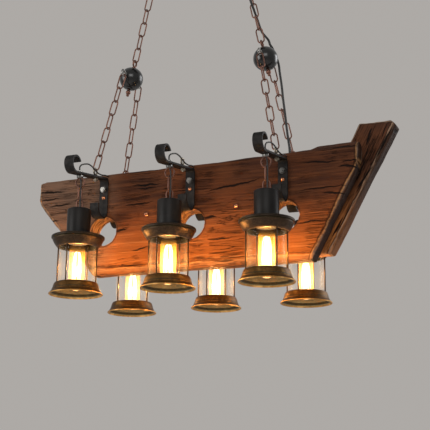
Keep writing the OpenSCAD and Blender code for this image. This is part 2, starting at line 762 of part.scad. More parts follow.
// Half section of the base ring: a ledge for the glass, a round shoulder and a skirt out to the lip
module base_section() {
    lip_r = base_d / 2;
    ledge = glass_d / 2 - glass_wall - 2;
    skirt = along(ring_curve, lip_r, base_h);
    inside = [for (i = [2 : 7]) skirt[i] + sheet * [-1.15, -0.3]];
    polygon(concat([[ledge, base_h]], skirt, [[lip_r - sheet, 0]], backwards(inside),
        [[rim_r, base_h - sheet], [ledge, base_h - sheet]]));
}

module at_rods(turn) {
    for (a = [0, 110, 180, 290]) rotate(turn + a) translate([rod_out, 0, 0]) children();
}

module lamp_cage(turn) {
    color("darkolivegreen") difference() {
        union() {
            rotate_extrude($fn = 96) base_section();
            rotate_extrude($fn = 96) collar_section();
        }
        at_rods(turn) cylinder(d = rod_d + fit, h = lamp_h, $fn = 24);
    }
    low = base_h - sheet - fit / 2 - rod_nut_h;
    high = collar_top + fit / 2;
    color("saddlebrown") at_rods(turn) {
        translate([0, 0, low - rod_tip])
            cylinder(d = rod_d, h = high - low + rod_nut_h + 2 * rod_tip, $fn = 24);
        translate([0, 0, low]) cylinder(d = rod_nut_d, h = rod_nut_h, $fn = 24);
        translate([0, 0, high]) cylinder(d = rod_nut_d, h = rod_nut_h, $fn = 24);
    }
}

module lamp_glass() {
    color("lightcyan", 0.4) translate([0, 0, base_h]) difference() {
        cylinder(d = glass_d, h = glass_gap + 8, $fn = 96);
        translate([0, 0, -1]) cylinder(d = glass_d - 2 * glass_wall, h = glass_gap + 10, $fn = 96);
    }
}

// Tubular bulb, cap up, its tip hanging through the base ring
module lamp_bulb() {
    r = bulb_d / 2;
    neck_r = cap_d / 2 - 1;
    low = bulb_rise;
    neck_low = socket_low - 16;
    color("gold") rotate_extrude($fn = 64)
        polygon(concat([[0, low]], [for (a = [15 : 15 : 90]) [r * sin(a), low + r * 0.9 * (1 - cos(a))]],
            [[r, neck_low], [r - 0.8, neck_low + 5], [neck_r + 0.8, neck_low + 12], [neck_r, socket_low],
            [0, socket_low]]));
    color("goldenrod") translate([0, 0, socket_low]) {
        cylinder(d = cap_d, h = cap_len - 4);
        translate([0, 0, cap_len - 4]) cylinder(d1 = cap_d - 2, d2 = 12, h = 4);
    }
}

// The hook pivot of a lantern, and the lip of a lantern
module at_lamp(i) {
    translate([lamp_x[i], lamp_side[i] * lamp_out, lamp_pivot_z]) children();
}

module at_lip(i) {
    translate([lamp_x[i], lamp_side[i] * lamp_out, lamp_pivot_z + lip]) children();
}

canopy();
mounting_bar();
canopy_nuts();
ceiling_hooks();
cable_grip();
upper_chains();
cable_upper();
chain_balls();
ball_axles();
ball_eyes();
lower_chains();
main_plank();
end_plank();
plank_screws();
front_brackets();
back_brackets();
bracket_bolts();
dome_nails();
screw_eyes();
lamp_hooks();
lamp_wires();
cable_lower();
cable_gland();
for (i = [0 : 5]) {
    at_lamp(i) lamp_link();
    at_lip(i) lamp_cup();
    at_lip(i) lamp_socket();
    at_lip(i) lamp_cage(lamp_turn[i]);
    at_lip(i) lamp_glass();
    at_lip(i) lamp_bulb();
}
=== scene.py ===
import math
import bpy
from mathutils import Vector, Matrix, noise


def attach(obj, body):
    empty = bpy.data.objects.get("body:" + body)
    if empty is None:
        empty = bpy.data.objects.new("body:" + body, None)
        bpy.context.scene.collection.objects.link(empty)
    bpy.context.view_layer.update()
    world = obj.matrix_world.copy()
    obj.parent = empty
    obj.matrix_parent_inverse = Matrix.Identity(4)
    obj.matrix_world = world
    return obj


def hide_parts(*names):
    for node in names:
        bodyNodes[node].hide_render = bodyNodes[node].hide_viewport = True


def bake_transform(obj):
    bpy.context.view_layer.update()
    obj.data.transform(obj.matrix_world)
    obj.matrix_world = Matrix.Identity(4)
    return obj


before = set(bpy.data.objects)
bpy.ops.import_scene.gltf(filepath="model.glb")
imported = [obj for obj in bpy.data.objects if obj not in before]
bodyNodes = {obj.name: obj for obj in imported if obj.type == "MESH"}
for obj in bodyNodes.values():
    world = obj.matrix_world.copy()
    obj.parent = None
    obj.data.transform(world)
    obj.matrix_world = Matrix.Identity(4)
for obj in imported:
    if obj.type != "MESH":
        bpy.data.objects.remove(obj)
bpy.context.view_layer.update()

# Plank chandelier with six glass lanterns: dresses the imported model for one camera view.
# Metres, the model's own frame: the origin is on the ceiling, +X runs along the plank, -Y is the front.

cameraSettings = {
    "place": (0.807, -1.869, -1.157),
    "azimuth": 22.13,
    "elevation": -14.58,
    "roll": 0.55,
    # focal length and width of the photo's frame in pixels, and the sensor's width in millimetres
    "focal": 995.0, "frame": 430, "sensor": 36,
    "clip": (0.05, 60),
}


def addCamera(s):
    a, e, roll = (math.radians(s[k]) for k in ("azimuth", "elevation", "roll"))
    back = Vector((math.sin(a) * math.cos(e), -math.cos(a) * math.cos(e), math.sin(e)))
    right = Vector((0, 0, 1)).cross(back).normalized()
    up = back.cross(right)
    turnedRight = right * math.cos(roll) + up * math.sin(roll)
    turnedUp = up * math.cos(roll) - right * math.sin(roll)
    data = bpy.data.cameras.new("viewCamera")
    data.sensor_width = s["sensor"]
    data.lens = s["focal"] / s["frame"] * s["sensor"]
    data.clip_start, data.clip_end = s["clip"]
    camera = bpy.data.objects.new("viewCamera", data)
    bpy.context.scene.collection.objects.link(camera)
    turn = Matrix((turnedRight, turnedUp, back)).transposed().to_4x4()
    camera.matrix_world = Matrix.Translation(s["place"]) @ turn
    bpy.context.scene.camera = camera


addCamera(cameraSettings)
bpy.context.scene.view_settings.view_transform = "Standard"
print("camera is in place")


class Value:
    # one output socket; adding, multiplying and so on adds Math nodes
    def __init__(self, kit, socket):
        self.kit = kit
        self.socket = socket

    def mathNode(self, operation, first, second):
        return self.kit.node("ShaderNodeMath", {"operation": operation}, {0: first, 1: second})

    def __add__(self, other):
        return self.mathNode("ADD", self, other)

    def __radd__(self, other):
        return self.mathNode("ADD", other, self)

    def __sub__(self, other):
        return self.mathNode("SUBTRACT", self, other)

    def __rsub__(self, other):
        return self.mathNode("SUBTRACT", other, self)

    def __mul__(self, other):
        return self.mathNode("MULTIPLY", self, other)

    def __rmul__(self, other):
        return self.mathNode("MULTIPLY", other, self)

    def __pow__(self, other):
        return self.mathNode("POWER", self, other)

    def __abs__(self):
        return self.kit.node("ShaderNodeMath", {"operation": "ABSOLUTE"}, {0: self})

    def atLeast(self, other):
        return self.mathNode("MAXIMUM", self, other)

    def ramp(self, low, high, first=0.0, last=1.0):
        # smooth step from low to high
        return self.kit.node("ShaderNodeMapRange", {"interpolation_type": "SMOOTHSTEP"},
                             {0: self, 1: low, 2: high, 3: first, 4: last})

    def line(self, width):
        # one where the value is nought, fading out on both sides over the width
        return abs(self).ramp(0.0, width, 1.0, 0.0)


shaderSockets = {
    "color": "Base Color", "rough": "Roughness", "metal": "Metallic", "specular": "Specular IOR Level",
    "coat": "Coat Weight", "coatRough": "Coat Roughness", "normal": "Normal",
    "glow": "Emission Color", "glowStrength": "Emission Strength",
}


class Finish:
    # a material with one Principled shader and a method for any node
    def __init__(self, name, **sockets):
        self.material = bpy.data.materials.new(name)
        self.material.use_nodes = True
        self.tree = self.material.node_tree
        self.shader = self.tree.nodes["Principled BSDF"]
        for key, value in sockets.items():
            self.put(key, value)

    def put(self, key, value):
        self.feed(self.shader.inputs[shaderSockets[key]], value)

    def feed(self, socket, value):
        if isinstance(value, Value):
            self.tree.links.new(value.socket, socket)
        elif isinstance(value, (tuple, list)) and len(value) == 3 and socket.type == "RGBA":
            socket.default_value = (*value, 1)
        else:
            socket.default_value = value

    def node(self, kind, settings=None, sockets=None, out=0):
        made = self.tree.nodes.new(kind)
        for key, value in (settings or {}).items():
            setattr(made, key, value)
        for key, value in (sockets or {}).items():
            self.feed(made.inputs[key], value)
        return Value(self, made.outputs[out])

    def spot(self):
        return self.node("ShaderNodeTexCoord", out="Object")

    def axis(self, name):
        return self.node("ShaderNodeSeparateXYZ", None, {0: self.spot()}, out=name)

    def place(self, scale=(1, 1, 1), turn=(0, 0, 0), shift=(0, 0, 0)):
        turned = self.node("ShaderNodeMapping", {"vector_type": "POINT"},
                           {"Vector": self.spot(), "Location": shift, "Rotation": turn, "Scale": (1, 1, 1)})
        return self.node("ShaderNodeVectorMath", {"operation": "MULTIPLY"}, {0: turned, 1: scale})

    def noise(self, spot, scale, detail=3.0, rough=0.5, distortion=0.0):
        return self.node("ShaderNodeTexNoise", None, {"Vector": spot, "Scale": scale, "Detail": detail,
                                                     "Roughness": rough, "Distortion": distortion})

    def mix(self, factor, first, second):
        # in colour mode the factor is input 0, the colours are inputs 6 and 7, and the result is output 2
        made = self.tree.nodes.new("ShaderNodeMix")
        made.data_type = "RGBA"
        self.feed(made.inputs[0], factor)
        self.feed(made.inputs[6], first)
        self.feed(made.inputs[7], second)
        return Value(self, made.outputs[2])

    def bump(self, height, depth, strength=1.0):
        return self.node("ShaderNodeBump", None, {"Height": height, "Distance": depth, "Strength": strength})


def give(piece, finish):
    piece.data.materials.clear()
    piece.data.materials.append(finish.material)


def dress(names, finish):
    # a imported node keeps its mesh; only its material slots change
    for name in names:
        slots = bodyNodes[name].material_slots
        if not slots:
            bodyNodes[name].data.materials.append(finish.material)
        for slot in slots:
            slot.material = finish.material


# the grain's layers: stretch along and across it, noise scale, detail, roughness and distortion
grainLayers = {
    "bands": ((0.6, 6, 8), 6, 5, 0.6, 1.4),
    "streaks": ((0.6, 18, 30), 7, 6, 0.72, 0.7),
    "hair": ((0.8, 40, 70), 9, 4, 0.7, 0.5),
    "wide": ((0.8, 9, 13), 5, 4, 0.6, 1.5),
    "thin": ((1.1, 16, 30), 6, 4, 0.6, 1.0),
}
timberLook = {
    # how far edges and splits wander, and the colour inside a split
    "wander": 0.014, "splitBlack": (0.008, 0.005, 0.004),
    # height of the foot, and the heights between which the painted shade on the top sets in
    "foot": -0.76, "paintedTopShade": (-0.68, -0.58),
    # half thickness where a hole's wall ends, and how far past the hole's radius its wall and dark rim are
    "wallEnd": (0.0195, 0.0215), "wall": (0.003, 0.005), "holeRim": 0.0035, "holeRimWidth": 0.0018,
    # least width of a worn rim that covers a whole end, and widths of the dark line and of the painted edge
    # highlight beside a narrower one
    "wholeEnd": 0.1, "darkLine": 0.0022, "edgeHighlight": 0.0020,
}


def placedSplits(s, split, x, z, wander):
    # adds the splits that the photo shows, each a thin spindle between two ends
    for x0, z0, x1, z1, half in s["splits"]:
        part = (x - x0) * (1 / (x1 - x0))
        reach = (part * (1 - part) * 4).atLeast(0) * half
        off = abs(z - (part * (z1 - z0) + z0) - wander)
        split = split.atLeast((reach - off).ramp(-0.0002, half * 0.45))
    return split


def rimWearAndPaintedLight(f, s, base, wander, nearFace, streaks):
    # pale where an end or edge is worn, and painted shade between its two edges, where an end lies in shadow
    for normal, place, width, tint, amount, shade in s["rims"]:
        facing = Vector(normal).normalized()
        inside = facing.dot(Vector(place)) - f.node("ShaderNodeVectorMath", {"operation": "DOT_PRODUCT"},
                                                    {0: f.spot(), 1: tuple(facing)}, out="Value")
        depth = inside + wander * 0.9
        rim = depth.ramp(width * 0.6, width, 1.0, 0.0)
        worn = rim * (0.25 + nearFace * 0.75)
        base = f.mix(worn * (streaks * 0.9 + 0.1) * amount, base, tint)
        base = f.mix(rim * (1 - nearFace) * shade, base, s["deep"])
        if width < timberLook["wholeEnd"]:
            # a dark line where the worn edge ends, and beside it a pale line that is a painted highlight along
            # the edge
            darkLine = (depth - width * 1.15).line(timberLook["darkLine"])
            base = f.mix(darkLine * amount * 0.75, base, s["deep"])
            edgeHighlight = (depth - width * 0.8).line(timberLook["edgeHighlight"])
            base = f.mix(edgeHighlight * (streaks + 0.2) * amount, base, s["pale"])
    return base


def holeWalls(f, s, base, x, y, z):
    # banded end grain inside each hole, and a dark rim round it
    rings = f.noise(f.place((6, 90, 6)), 5, 3, 0.6).ramp(0.4, 0.6)
    within = abs(y - s["middle"]).ramp(*timberLook["wallEnd"], 1.0, 0.0)
    for cx, cz, r in s["holes"]:
        past = ((x - cx) * (x - cx) + (z - cz) * (z - cz)) ** 0.5 - r
        wall = past.ramp(*timberLook["wall"], 1.0, 0.0) * within
        base = f.mix(wall * 0.85, base, f.mix(rings, s["dark"], s["pale"]))
        rim = (past - timberLook["holeRim"]).line(timberLook["holeRimWidth"])
        base = f.mix(rim * (1 - wall) * 0.7, base, s["deep"])
    return base


def timber(name, s):
    # old oiled beam: drawn-out grain, long dark splits along it, worn rims with painted shade and painted
    # highlights, a painted glow of the bulbs low down and painted shade on top
    f = Finish(name, specular=0.12)
    far = f.place(turn=s["turn"], shift=s["shift"])
    bands, streaks, hair, wide, thin = (f.noise(f.place(stretch, s["turn"], s["shift"]), *rest)
                                        for stretch, *rest in grainLayers.values())
    x, y, z = (f.axis(letter) for letter in "XYZ")
    wander = (f.noise(f.place((1, 0.2, 0.5)), 22, 4, 0.65) - 0.5) * timberLook["wander"]
    # a split opens where a layer crosses its middle value, in stretches that a coarser layer picks
    split = (wide - 0.5).line(0.014) * f.noise(far, 7, 2).ramp(0.5, 0.6)
    split = placedSplits(s, split, x, z, wander)
    check = (thin - 0.5).line(0.03) * f.noise(far, 12, 2).ramp(0.46, 0.6)
    patch = f.noise(far, 8, 3, 0.55)
    tone = (bands * 0.4 + streaks * 0.6).ramp(0.37, 0.63)
    base = f.mix(tone, s["dark"], s["light"])
    base = f.mix(patch.ramp(0.42, 0.7) * 0.6, base, s["warm"])
    base = f.mix(hair.ramp(0.5, 0.7) * patch.ramp(0.35, 0.6) * 0.6, base, s["deep"])
    # painted light: warmer and more golden towards the foot, standing in for the bulbs' glow
    low = z.ramp(timberLook["foot"], s["paintedGlowTop"], 1.0, 0.0)
    base = f.mix(low * s["paintedGlow"], base, s["paintedGlowTint"])
    # pale grain streaks, strongest low down: partly grain, partly painted highlight that goes with the painted
    # glow
    base = f.mix(streaks.ramp(0.54, 0.68) * (low * 0.5 + 0.06), base, s["pale"])
    # painted shade: darker towards the top
    base = f.mix(z.ramp(*timberLook["paintedTopShade"], 0.0, s["paintedTopShade"]), base, s["dark"])
    nearFace = abs(y - s["middle"]).ramp(*s["edge"])
    base = rimWearAndPaintedLight(f, s, base, wander, nearFace, streaks)
    base = holeWalls(f, s, base, x, y, z)
    base = f.mix(check * 0.6, base, s["deep"])
    base = f.mix(split * 0.96, base, timberLook["splitBlack"])
    f.put("color", base)
    f.put("rough", 0.5 + streaks * 0.25 + split * 0.2)
    relief = bands * 0.8 + streaks * 0.7 + hair * 0.25 - split * 1.5 - check * 0.6
    f.put("normal", f.bump(relief, 0.0035, 0.9))
    return f


plankWood = timber("plankWood", {
    "turn": (0, 0, 0), "shift": (0, 0, 0),
    # middle of the thickness, and where the worn edges start and end, measured from it
    "middle": 0, "edge": (0.012, 0.018),
    "dark": (0.050, 0.016, 0.0075), "light": (0.200, 0.066, 0.023), "warm": (0.25, 0.070, 0.017),
    "deep": (0.018, 0.007, 0.004), "pale": (0.55, 0.27, 0.10),
    # painted glow of the bulbs low down: how strong, up to which height and its tint; and how much painted shade
    # darkens the top
    "paintedGlow": 0.50, "paintedGlowTop": -0.61, "paintedGlowTint": (0.43, 0.124, 0.014), "paintedTopShade": 0.45,
    # middle and radius of each hole
    "holes": [(-0.205, -0.652, 0.031), (0, -0.652, 0.031), (0.205, -0.652, 0.031)],
    # both ends of each split, as x and z, and its half width
    "splits": [(-0.374, -0.549, -0.300, -0.553, 0.0022), (-0.372, -0.568, -0.315, -0.566, 0.0018),
               (-0.345, -0.583, -0.285, -0.582, 0.0020), (-0.345, -0.616, -0.315, -0.617, 0.0016),
               (-0.140, -0.555, -0.068, -0.558, 0.0024), (-0.125, -0.563, -0.085, -0.564, 0.0015),
               (0.035, -0.585, 0.158, -0.569, 0.0024), (-0.158, -0.601, -0.086, -0.595, 0.0018),
               (0.240, -0.546, 0.322, -0.549, 0.0018), (0.300, -0.521, 0.362, -0.519, 0.0022),
               (0.318, -0.560, 0.362, -0.566, 0.0026), (0.326, -0.553, 0.362, -0.549, 0.0018),
               (0.235, -0.602, 0.340, -0.600, 0.0016), (0.283, -0.612, 0.332, -0.616, 0.0024),
               (-0.178, -0.656, -0.145, -0.650, 0.0026), (0.028, -0.641, 0.060, -0.640, 0.0030),
               (-0.136, -0.700, -0.090, -0.694, 0.0017), (0.038, -0.690, 0.094, -0.690, 0.0016),
               (-0.300, -0.640, -0.258, -0.642, 0.0018), (0.230, -0.672, 0.290, -0.668, 0.0018)],
    # each rim: outward normal, a spot on the face, width, worn tint, amount, and the painted shade between its
    # edges
    "rims": [((0, 0, -1), (0, 0, -0.747), 0.014, (0.42, 0.20, 0.085), 0.85, 0.0),
             ((0.178, 0, -0.093), (0.262, 0, -0.747), 0.0075, (0.29, 0.22, 0.17), 0.9, 0.9),
             ((1, 0, 0), (0.361, 0, -0.52), 0.005, (0.30, 0.22, 0.16), 0.8, 0.8),
             ((-0.17, 0, -0.139), (-0.232, 0, -0.747), 0.007, (0.38, 0.25, 0.16), 0.9, 0.2),
             ((-1, 0, 0), (-0.371, 0, -0.6), 0.006, (0.38, 0.25, 0.16), 0.85, 0.2),
             ((-1, 0, 0.1), (-0.371, 0, -0.6), 0.22, (0.27, 0.165, 0.11), 0.85, 0.0)]})
endWood = timber("endWood", {
    "turn": (0, math.radians(61.7), 0), "shift": (0.31, 0.2, 0.1),
    "middle": 0.0445, "edge": (0.016, 0.0205),
    "dark": (0.028, 0.010, 0.006), "light": (0.110, 0.042, 0.021), "warm": (0.19, 0.062, 0.020),
    "deep": (0.012, 0.005, 0.003), "pale": (0.45, 0.29, 0.19),
    # painted glow of the bulbs low down, and painted shade on top
    "paintedGlow": 0.8, "paintedGlowTop": -0.54, "paintedGlowTint": (0.85, 0.29, 0.075), "paintedTopShade": 0.35,
    "holes": [],
    "splits": [(0.3315, -0.602, 0.3706, -0.530, 0.0050), (0.3431, -0.601, 0.3801, -0.554, 0.0040),
               (0.3847, -0.540, 0.4237, -0.470, 0.0042), (0.2900, -0.698, 0.3179, -0.651, 0.0050),
               (0.3660, -0.510, 0.3806, -0.471, 0.0070), (0.4057, -0.521, 0.4278, -0.471, 0.0030),
               (0.3416, -0.611, 0.3653, -0.572, 0.0030), (0.3000, -0.690, 0.3400, -0.618, 0.0028),
               (0.3550, -0.560, 0.3760, -0.500, 0.0030), (0.3980, -0.500, 0.4120, -0.464, 0.0034)],
    # rims as on the main plank; the last value is the painted shade between the edges
    "rims": [((0.88, 0, -0.474), (0.288, 0, -0.727), 0.005, (0.30, 0.20, 0.14), 0.95, 0.6),
             ((-0.88, 0, 0.474), (0.208, 0, -0.727), 0.006, (0.24, 0.16, 0.11), 0.8, 0.3),
             ((0, 0, 1), (0.4, 0, -0.458), 0.005, (0.20, 0.15, 0.11), 0.8, 0.2)]})


def forgedIron():
    f = Finish("forgedIron", metal=0.15, specular=0.22)
    spot = f.place()
    hammered = f.noise(spot, 90, 2, 0.5)
    dust = f.noise(spot, 700, 3, 0.6)
    f.put("color", f.mix(hammered.ramp(0.35, 0.7), (0.008, 0.0072, 0.0068), (0.021, 0.0185, 0.0175)))
    f.put("rough", 0.48 + dust * 0.22)
    f.put("normal", f.bump(hammered + dust * 0.12, 0.0012, 0.55))
    return f


def plainMetal(name, low, high, rough, metal, speckle=300, depth=0.0002, specular=0.5):
    # cloudy between two colours, with fine grit; also serves for paint, plastic and rubber
    f = Finish(name, metal=metal, specular=specular)
    spot = f.place()
    cloud = f.noise(spot, 35, 3, 0.6)
    grit = f.noise(spot, speckle, 4, 0.65)
    f.put("color", f.mix(cloud.ramp(0.3, 0.7) * 0.7 + grit * 0.3, low, high))
    f.put("rough", rough + (grit - 0.5) * 0.25)
    f.put("normal", f.bump(grit, depth, 0.5))
    return f


blackIron = forgedIron()
canopyPaint = plainMetal("canopyPaint", (0.022, 0.021, 0.020), (0.040, 0.038, 0.036), 0.5, 0.3, 900, 0.0001)
darkSteel = plainMetal("darkSteel", (0.05, 0.046, 0.042), (0.14, 0.13, 0.12), 0.38, 0.9)
zincSteel = plainMetal("zincSteel", (0.15, 0.145, 0.14), (0.36, 0.345, 0.32), 0.24, 1.0, 160, 0.0001)
chainCopper = plainMetal("chainCopper", (0.10, 0.048, 0.036), (0.26, 0.125, 0.088), 0.42, 0.8, 140, 0.0001)
nailCopper = plainMetal("nailCopper", (0.22, 0.070, 0.036), (0.82, 0.37, 0.20), 0.24, 0.95)
eyeSteel = plainMetal("eyeSteel", (0.16, 0.14, 0.115), (0.42, 0.37, 0.29), 0.34, 0.95)
blackGloss = Finish("blackGloss", color=(0.004, 0.0035, 0.0035), rough=0.26, metal=0.0, specular=0.3,
                    coat=0.6, coatRough=0.2)
cupPaint = plainMetal("cupPaint", (0.007, 0.0060, 0.0055), (0.015, 0.0130, 0.0120), 0.42, 0.0,
                      speckle=1200, depth=0.00008, specular=0.16)
socketBlack = plainMetal("socketBlack", (0.012, 0.012, 0.012), (0.03, 0.03, 0.03), 0.35, 0.0, 500, 0.0001)
cableBlack = plainMetal("cableBlack", (0.010, 0.010, 0.010), (0.028, 0.027, 0.026), 0.55, 0.0, 1500, 0.0001)

for finish, names in (
        (plankWood, ["main_plank"]), (endWood, ["end_plank"]),
        (blackIron, ["front_brackets", "back_brackets"]), (canopyPaint, ["canopy", "canopy_nuts"]),
        (darkSteel, ["ceiling_hooks", "plank_screws"]), (eyeSteel, ["screw_eyes"]),
        (zincSteel, ["mounting_bar", "ball_axles", "bracket_bolts"]),
        (chainCopper, ["upper_chains", "lower_chains", "ball_eyes"]), (nailCopper, ["dome_nails"]),
        (blackGloss, ["chain_balls"]),
        (cableBlack, ["cable_grip", "cable_upper", "cable_lower", "cable_gland", "lamp_wires"])):
    dress(names, finish)
print("finishes are on the packed nodes")


def seeThrough(name, tint, solid, glow=None, strength=0.0):
    # thin glass: clear where solid is nought, and showing its own surface where it is one
    f = Finish(name, color=tint, metal=0.0, rough=0.04, specular=1.0)
    if glow:
        f.put("glow", glow(f))
        f.put("glowStrength", strength)
    edge = f.node("ShaderNodeLayerWeight", None, {"Blend": 0.35}, out="Facing")
    window = f.node("ShaderNodeBsdfTransparent", None, {"Color": (1, 1, 1, 1)})
    blend = f.node("ShaderNodeMixShader", None, {0: solid(edge)})
    f.tree.links.new(window.socket, blend.socket.node.inputs[1])
    f.tree.links.new(f.shader.outputs[0], blend.socket.node.inputs[2])
    f.tree.links.new(blend.socket, f.tree.nodes["Material Output"].inputs[0])
    return f


# heights over the lantern's lip where the bulb changes
bulbLook = {
    "lipHeight": -0.80826,
    "hotTop": 0.058, "coolTop": 0.084, "darkTop": 0.096,
    "tip": (0.012, 0.045), "neck": (0.088, 0.098),
}


def aboveLip(f, low, high):
    # nought below the first height over the lip, one above the second
    return f.axis("Z").ramp(bulbLook["lipHeight"] + low, bulbLook["lipHeight"] + high)


def tubeGlow(f):
    # white-hot low down, amber towards the neck
    amber = aboveLip(f, bulbLook["hotTop"], bulbLook["coolTop"])
    dark = aboveLip(f, bulbLook["coolTop"], bulbLook["darkTop"])
    return f.mix(dark, f.mix(amber, (1.0, 0.60, 0.30), (1.0, 0.42, 0.025)), (0.06, 0.02, 0.002))


def clearSolid(edge):
    return 0.015 + edge ** 3 * 0.35


def bulbSolid(edge):
    # most solid at the tip, and almost clear at the neck
    body = 0.75 - aboveLip(edge.kit, *bulbLook["tip"]) * 0.45 + edge ** 2 * 0.25
    return body * (1 - aboveLip(edge.kit, *bulbLook["neck"]) * 0.94)


clearGlass = seeThrough("clearGlass", (0.22, 0.23, 0.23), clearSolid)
bulbGlass = seeThrough("bulbGlass", (0.40, 0.23, 0.05), bulbSolid, tubeGlow, 0.72)
filamentGlow = Finish("filamentGlow", color=(0.1, 0.05, 0.02), rough=0.5,
                      glow=(1.0, 0.78, 0.42), glowStrength=9.0)


def agedBronze(name, dark, mid, worn, wornAt):
    # dark patina with brighter metal in patches, where hands and cloths rub it
    f = Finish(name, metal=0.85, specular=0.5)
    spot = f.place()
    cloud = f.noise(spot, 42, 4, 0.65)
    grit = f.noise(spot, 420, 3, 0.6)
    f.put("color", f.mix(cloud.ramp(wornAt, wornAt + 0.25), f.mix(grit.ramp(0.3, 0.7), dark, mid), worn))
    f.put("rough", 0.34 + cloud * 0.22)
    f.put("normal", f.bump(cloud + grit * 0.3, 0.0004, 0.5))
    return f


collarBronze = agedBronze("collarBronze", (0.018, 0.0140, 0.0105), (0.045, 0.030, 0.018),
                          (0.105, 0.058, 0.025), 0.55)
# painted light: a lighter, warmer copy of the collar's bronze for its bowl, standing in for the bulb's glow
collarBowlLit = agedBronze("collarBowlLit", (0.034, 0.020, 0.011), (0.080, 0.046, 0.025), (0.145, 0.082, 0.040),
                        0.52)
ringBrass = agedBronze("ringBrass", (0.055, 0.024, 0.005), (0.135, 0.062, 0.012), (0.36, 0.19, 0.045), 0.53)
# painted light: a lighter copy of the brass for the inside of the base ring, where the bulb lights it
ringInsideLit = agedBronze("ringInsideLit", (0.20, 0.145, 0.065), (0.30, 0.22, 0.10), (0.42, 0.31, 0.14), 0.5)
# painted shade: a darker copy of the brass for the collar's groove, the base ring's bead and a ring inside it
ringShade = agedBronze("ringShade", (0.030, 0.022, 0.010), (0.075, 0.055, 0.024), (0.15, 0.11, 0.045), 0.55)
# the lip: brighter gold, partly rubbed brass and partly painted highlight
lipGold = agedBronze("lipGold", (0.30, 0.15, 0.035), (0.58, 0.31, 0.085), (0.85, 0.50, 0.17), 0.45)
rodBronze = agedBronze("rodBronze", (0.020, 0.012, 0.007), (0.070, 0.040, 0.017), (0.34, 0.20, 0.065), 0.54)
capMetal = plainMetal("capMetal", (0.35, 0.27, 0.14), (0.70, 0.58, 0.34), 0.28, 1.0)


def freshStart():
    if bpy.context.object and bpy.context.object.mode != "OBJECT":
        bpy.ops.object.mode_set(mode="OBJECT")
    bpy.ops.object.select_all(action="DESELECT")


def activate(piece):
    freshStart()
    piece.select_set(True)
    bpy.context.view_layer.objects.active = piece


def lathe(name, profile, finish, steps=96, closed=True):
    # one vertex is extruded along the profile of (radius, height) and spun round the upright
    freshStart()
    bpy.ops.mesh.primitive_plane_add(size=0.001, location=(0, 0, 0))
    piece = bpy.context.object
    piece.name = name
    bpy.ops.object.mode_set(mode="EDIT")
    bpy.ops.mesh.select_all(action="SELECT")
    bpy.ops.mesh.merge(type="CENTER")
    bpy.ops.transform.translate(value=(profile[0][0], 0, profile[0][1]))
    track = list(profile) + ([profile[0]] if closed else [])
    for before, after in zip(track, track[1:]):
        step = (after[0] - before[0], 0, after[1] - before[1])
        bpy.ops.mesh.extrude_region_move(TRANSFORM_OT_translate={"value": step})
    bpy.ops.mesh.select_all(action="SELECT")
    bpy.ops.mesh.spin(steps=steps, angle=math.tau, center=(0, 0, 0), axis=(0, 0, 1))
    bpy.ops.mesh.select_all(action="SELECT")
    bpy.ops.mesh.remove_doubles(threshold=0.00001)
    bpy.ops.mesh.normals_make_consistent(inside=False)
    bpy.ops.object.mode_set(mode="OBJECT")
    bpy.ops.object.shade_smooth_by_angle(angle=math.radians(38))
    give(piece, finish)
    return piece


def cutCorners(profile, cut):
    # a closed profile with its corners cut off, on a short side at most 0.45 of its length from each end
    made = []
    for i, point in enumerate(profile):
        here = Vector(point)
        for other in (profile[i - 1], profile[(i + 1) % len(profile)]):
            way = Vector(other) - here
            made.append(tuple(here + way * min(0.45, cut / max(way.length, 1e-9))))
    return made


def bevelled(piece, width):
    # rounds the edges of the active piece
    bpy.ops.object.modifier_add(type="BEVEL")
    piece.modifiers[-1].width = width
    piece.modifiers[-1].segments = 2
    bpy.ops.object.modifier_apply(modifier=piece.modifiers[-1].name)
    return piece


def curveData(name, width, resolution):
    data = bpy.data.curves.new(name, "CURVE")
    data.dimensions = "3D"
    data.bevel_depth = width / 2
    data.bevel_resolution = resolution
    return data


def meshed(name, data, finish):
    # a curve made a smooth mesh at once
    line = bpy.data.objects.new(name, data)
    bpy.context.scene.collection.objects.link(line)
    activate(line)
    bpy.ops.object.convert(target="MESH")
    piece = bpy.context.object
    bpy.ops.object.shade_smooth()
    give(piece, finish)
    return piece


def tube(name, route, width, finish, sides=14):
    # a smooth round cord or rod along a route
    data = curveData(name, width, max(1, sides // 4))
    data.resolution_u = 6
    data.use_fill_caps = True
    spline = data.splines.new("BEZIER")
    spline.bezier_points.add(len(route) - 1)
    for knot, place in zip(spline.bezier_points, route):
        knot.co = place
        knot.handle_left_type = knot.handle_right_type = "AUTO"
    return meshed(name, data, finish)


def settle(piece):
    # leaves the object at the origin, unturned and unscaled, with its place in its mesh
    activate(piece)
    bpy.ops.object.transform_apply(location=True, rotation=True, scale=True)
    return piece


def joined(name, parts):
    freshStart()
    for part in parts:
        part.select_set(True)
    bpy.context.view_layer.objects.active = parts[0]
    bpy.ops.object.join()
    piece = bpy.context.object
    piece.name = name
    return settle(piece)


def copied(piece, name, shift, turn=0.0):
    # a copy with its own mesh, turned about the upright and moved, its object still at the origin
    twin = bpy.data.objects.new(name, piece.data.copy())
    bpy.context.scene.collection.objects.link(twin)
    twin.data.transform(Matrix.Translation(shift) @ Matrix.Rotation(turn, 4, "Z"))
    return twin


# place of each lantern and how far its cage is turned about the upright, in degrees
lamps = {
    "front_left": (-0.205, -0.127, -92), "front_middle": (0, -0.127, -99),
    "front_right": (0.205, -0.127, -153), "back_left": (-0.205, 0.127, -118),
    "back_middle": (0, 0.127, -99), "back_right": (0.205, 0.127, -97),
}
# height of each link's contact with the lamp hook, and with the lantern's arch
hangPoint, swayPoint = -0.581556, -0.611556
